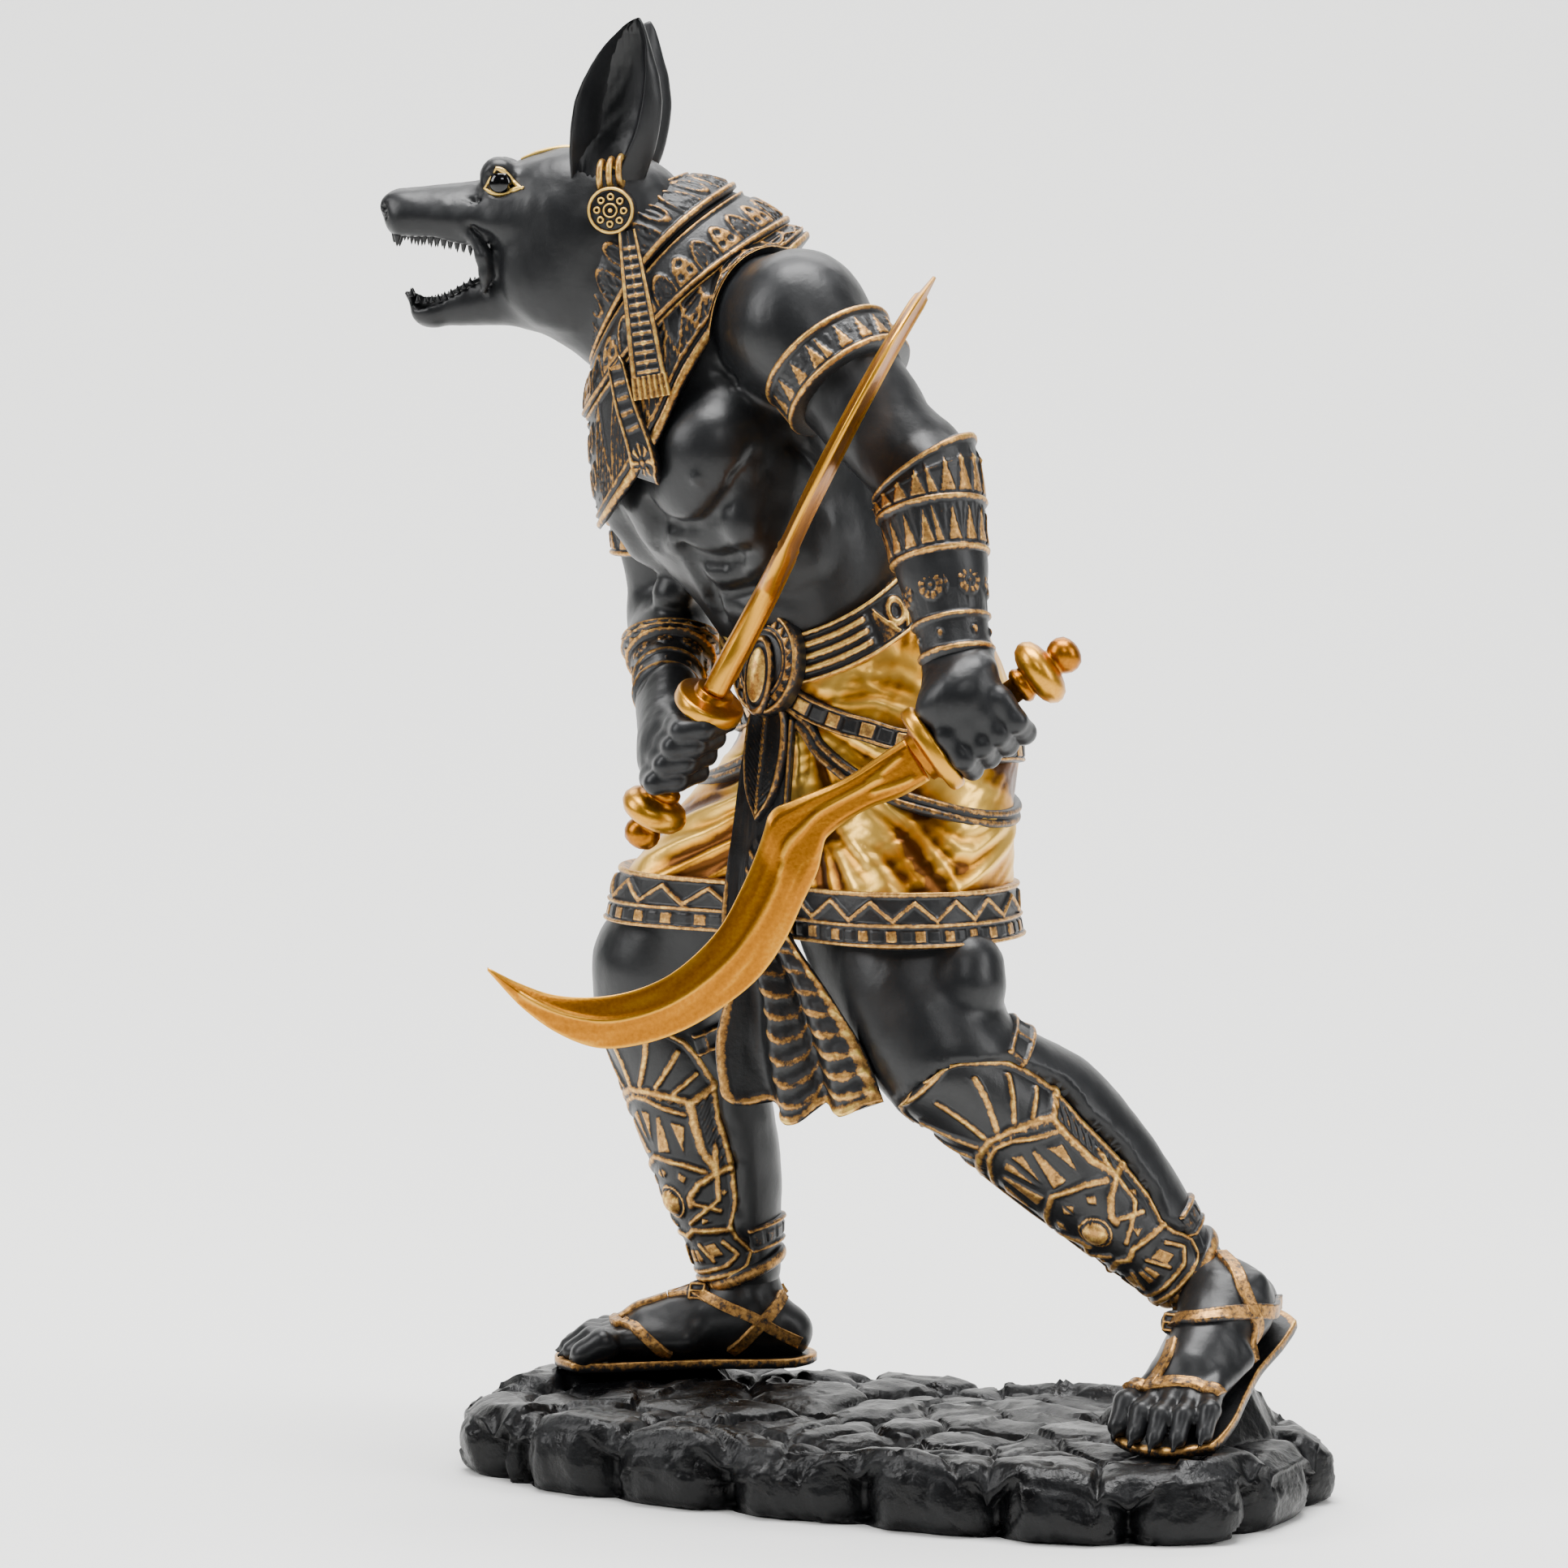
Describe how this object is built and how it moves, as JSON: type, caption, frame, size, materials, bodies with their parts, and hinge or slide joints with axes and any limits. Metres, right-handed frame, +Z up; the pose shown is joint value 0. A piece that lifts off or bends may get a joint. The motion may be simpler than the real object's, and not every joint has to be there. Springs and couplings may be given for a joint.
{
  "type": "anubis statue",
  "caption": "Standing jackal-headed warrior statuette striding over a rock slab with a curved sword in each hand, black with gold kilt and ornaments.",
  "frame": {"origin": "on the ground under the middle of the rock base", "axes": "+Z up; the figure strides towards -X and its left side, the side in the picture, faces -Y"},
  "size_m": [0.1862, 0.1239, 0.2924],
  "materials": {
    "resin": "satin black painted cast resin with gold dry-brushed ornament",
    "stone": "charcoal painted cast resin, rough like split rock",
    "gold": "deep metallic gold paint on cast resin, lightly brushed"
  },
  "bodies": {
    "root": {"rock_base": "stone", "figure": "resin", "left_khopesh": "gold", "right_khopesh": "gold"}
  },
  "joints": []
}
